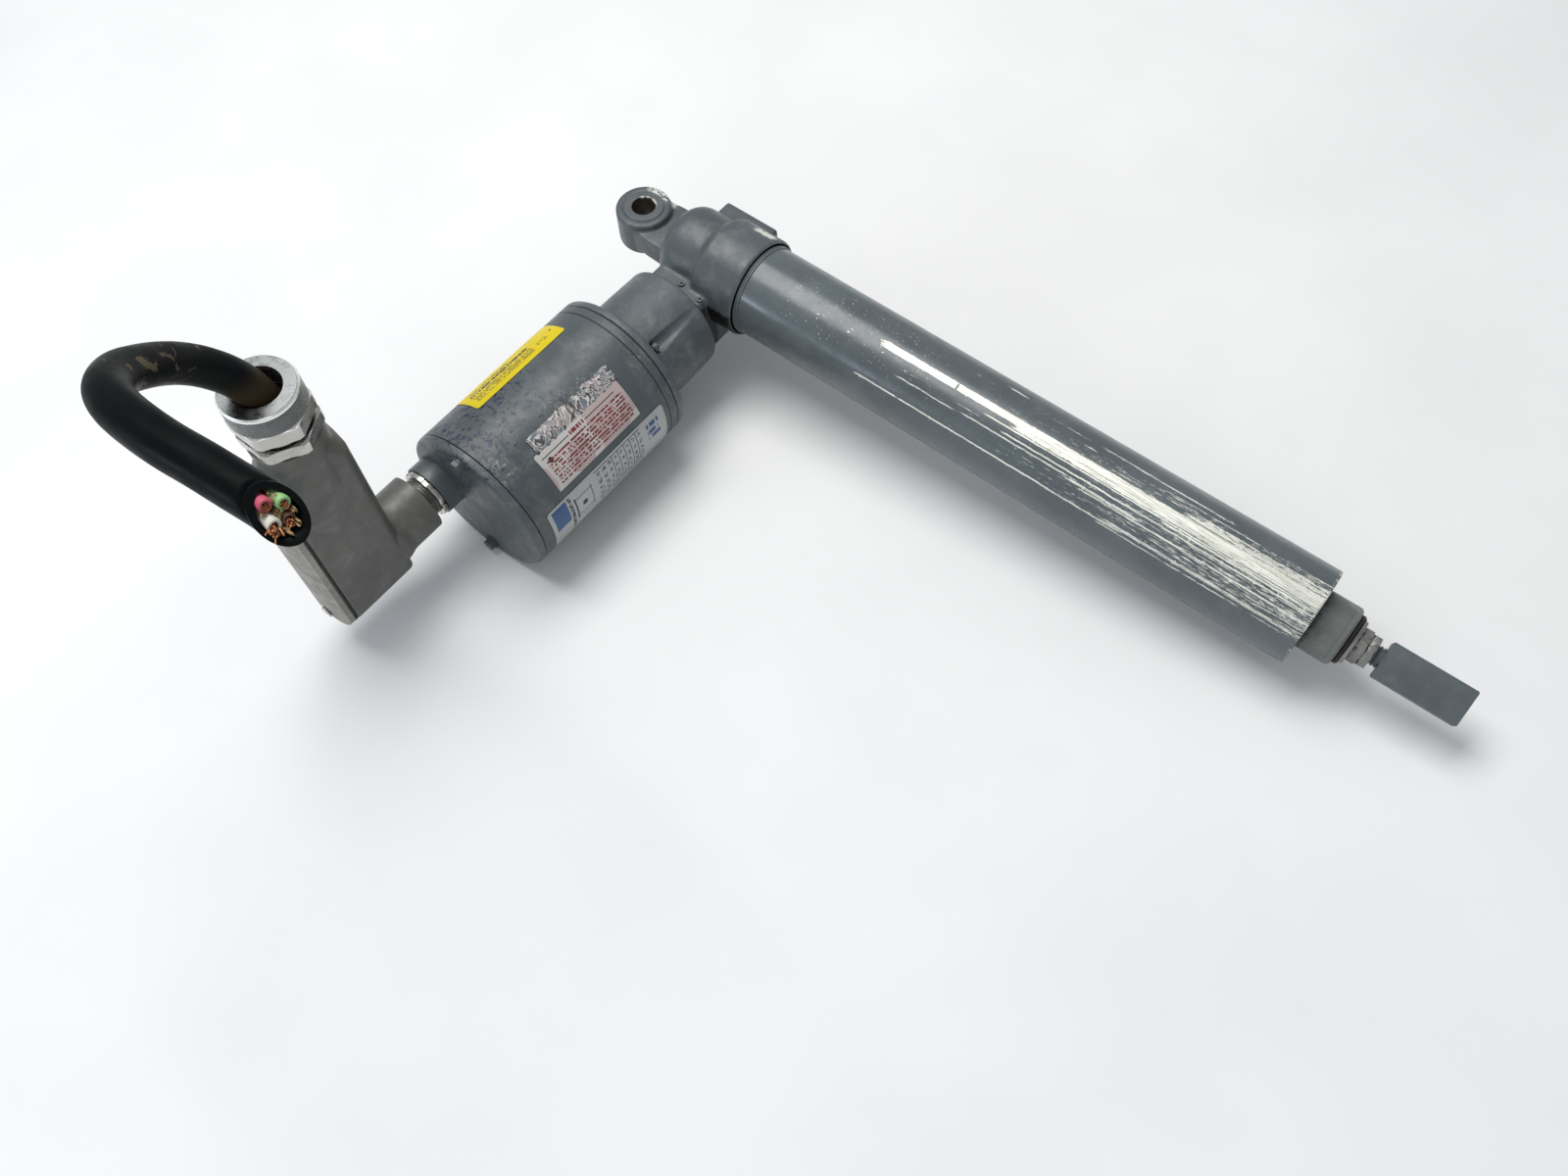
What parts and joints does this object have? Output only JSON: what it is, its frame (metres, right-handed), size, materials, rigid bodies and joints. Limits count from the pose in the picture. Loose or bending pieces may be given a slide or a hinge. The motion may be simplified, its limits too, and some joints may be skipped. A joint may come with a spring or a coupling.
{
  "type": "linear actuator",
  "caption": "Electric linear actuator with a worm-gear screw drive, a motor at right angles, a rear eye, a rod ending in a flat tang, and a conduit elbow with a short cut cable.",
  "frame": {"origin": "centre of the rear eye's bore", "axes": "+X along the screw towards the rod end, +Z along the rear eye's bore, motor towards -Y"},
  "size_m": [0.6053, 0.4133, 0.3288],
  "materials": {
    "grey_paint": "satin",
    "plain_steel": "satin",
    "plated_steel": "bright",
    "lamination_steel": "matte",
    "chromed_steel": "polished",
    "copper": "bright",
    "bronze": "satin",
    "cast_aluminium": "matte",
    "pale_aluminium": "satin",
    "machined_aluminium": "satin",
    "black_rubber": "matte",
    "white_nylon": "matte",
    "wire_insulation": "satin",
    "filler_paper": "matte",
    "yellow_film": "gloss",
    "white_film": "gloss",
    "plate_film": "satin"
  },
  "bodies": {
    "housing": {"gear_housing": "grey_paint", "eye_bushing": "plain_steel", "worm_plug": "grey_paint", "block_set_screws": "plain_steel", "drive_end_bell": "grey_paint", "bell_screws": "plain_steel", "motor_shell": "grey_paint", "motor_end_cap": "grey_paint", "tie_bolts": "plain_steel", "stator_core": "lamination_steel", "stator_windings": "copper", "motor_bearing_front": "plain_steel", "motor_bearing_rear": "plain_steel", "worm_bearing_near": "plain_steel", "worm_bearing_far": "plain_steel", "screw_rear_bearing": "plain_steel", "screw_thrust_bearing": "plain_steel", "bearing_retainer": "plain_steel", "guide_tube": "grey_paint", "tube_seal": "black_rubber", "tube_ring": "grey_paint", "front_guide": "bronze", "rod_wiper": "black_rubber", "conduit_nipple": "plated_steel", "conduit_lock_ring": "plated_steel", "conduit_elbow": "cast_aluminium", "elbow_gasket": "black_rubber", "elbow_cover": "pale_aluminium", "elbow_cover_screws": "plain_steel", "gland_body": "machined_aluminium", "gland_nut": "machined_aluminium", "gland_seal": "black_rubber", "supply_cable": "black_rubber", "cable_wires": "wire_insulation", "cable_strands": "copper", "cable_filler": "filler_paper", "label_yellow": "yellow_film", "label_white": "white_film", "nameplate": "plate_film"},
    "screw": {"lead_screw": "plain_steel", "worm_wheel": "bronze", "wheel_key": "plain_steel", "screw_stop": "plain_steel"},
    "rotor": {"rotor_shaft": "plain_steel", "rotor_core": "lamination_steel", "rotor_end_rings": "machined_aluminium", "shaft_coupling": "plain_steel", "worm_shaft": "plain_steel", "worm": "plain_steel"},
    "rod": {"drive_nut": "bronze", "nut_guide": "white_nylon", "rod_tube": "chromed_steel", "rod_plug": "grey_paint", "rod_seal": "black_rubber", "rod_washer": "plain_steel", "jam_nuts": "plain_steel", "tang_end": "grey_paint"}
  },
  "joints": [
    {"name": "motor_spin", "type": "hinge", "parent": "housing", "child": "rotor", "pos_m": [0.0578, 0, -0.019], "axis": [0, 1, 0], "range_deg": [0, 432000]},
    {"name": "screw_spin", "type": "hinge", "parent": "housing", "child": "screw", "pos_m": [0.0578, 0, 0], "axis": [-1, 0, 0], "range_deg": [0, 21600]},
    {"name": "rod_slide", "type": "slide", "parent": "housing", "child": "rod", "axis": [1, 0, 0], "range_m": [0, 0.3048]}
  ],
  "couplings": [
    {"joint": "screw_spin", "follows": "motor_spin", "ratio": 0.05},
    {"joint": "rod_slide", "follows": "motor_spin", "m_per_rad": 0.000040425}
  ]
}
